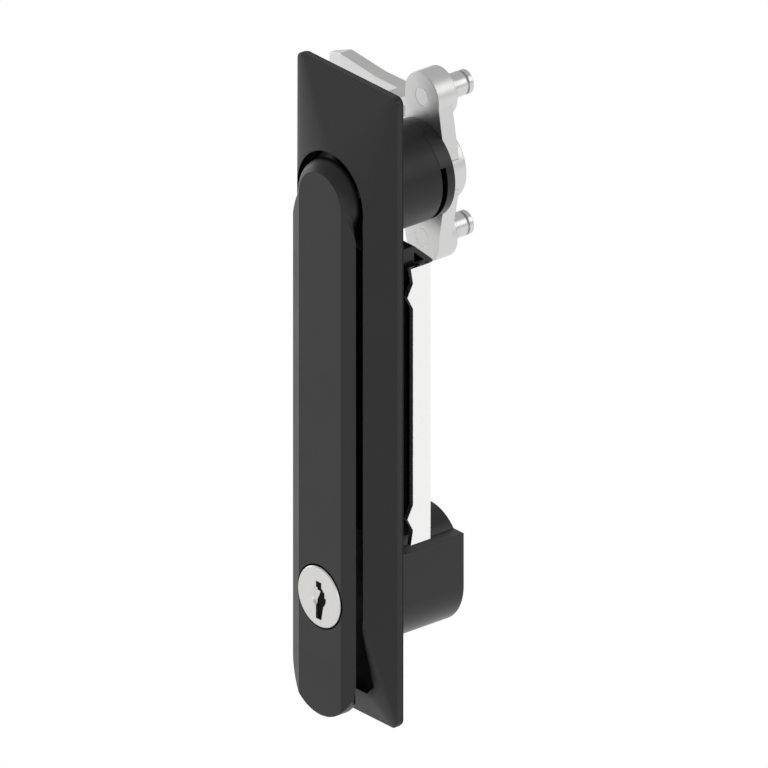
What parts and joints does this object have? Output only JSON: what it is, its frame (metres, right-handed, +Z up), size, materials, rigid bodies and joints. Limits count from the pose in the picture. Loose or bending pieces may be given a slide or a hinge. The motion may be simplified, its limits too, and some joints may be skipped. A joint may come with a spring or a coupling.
{
  "type": "swing handle lock",
  "caption": "Flush swing handle lock for a sheet-metal cabinet door: the lever lifts out of its dish and turns a cam, rod pins and tongue behind the door.",
  "frame": {"origin": "centre of the plate on the door's front face", "axes": "+X right seen from the front, +Y into the door, +Z up along the plate"},
  "size_m": [0.0735, 0.0508, 0.17],
  "materials": {
    "black_coating": "fine matt black powder coat",
    "seal_rubber": "matt black rubber",
    "black_plastic": "matt",
    "bright_zinc": "bright zinc plate",
    "plain_steel": "turned",
    "cast_zinc": "fine cast, zinc plated",
    "satin_nickel": "satin nickel"
  },
  "bodies": {
    "dish": {"dish": "black_coating", "gasket": "seal_rubber", "bearing_bush": "black_plastic", "thrust_washer": "plain_steel", "clamp_bracket": "bright_zinc", "bracket_screws": "bright_zinc", "lock_housing": "black_coating", "housing_screws": "plain_steel"},
    "spindle": {"spindle": "cast_zinc", "o_ring": "seal_rubber", "stop_ring": "black_coating", "drive_cam": "cast_zinc", "rod_pin_upper": "plain_steel", "rod_pin_lower": "plain_steel", "tongue": "cast_zinc", "end_washer": "plain_steel", "end_screw": "plain_steel", "hinge_pin": "plain_steel"},
    "handle": {"handle": "black_coating"},
    "plug": {"lock_plug": "satin_nickel"}
  },
  "joints": [
    {"name": "spindle_turn", "type": "hinge", "parent": "dish", "child": "spindle", "pos_m": [0, 0, 0.0531], "axis": [0, 1, 0], "range_deg": [0, 90]},
    {"name": "handle_lift", "type": "hinge", "parent": "spindle", "child": "handle", "pos_m": [0, -0.0046, 0.056], "axis": [-1, 0, 0], "range_deg": [0, 22]},
    {"name": "plug_turn", "type": "hinge", "parent": "handle", "child": "plug", "pos_m": [0, 0, -0.0531], "axis": [0, 1, 0], "range_deg": [0, 90]}
  ]
}
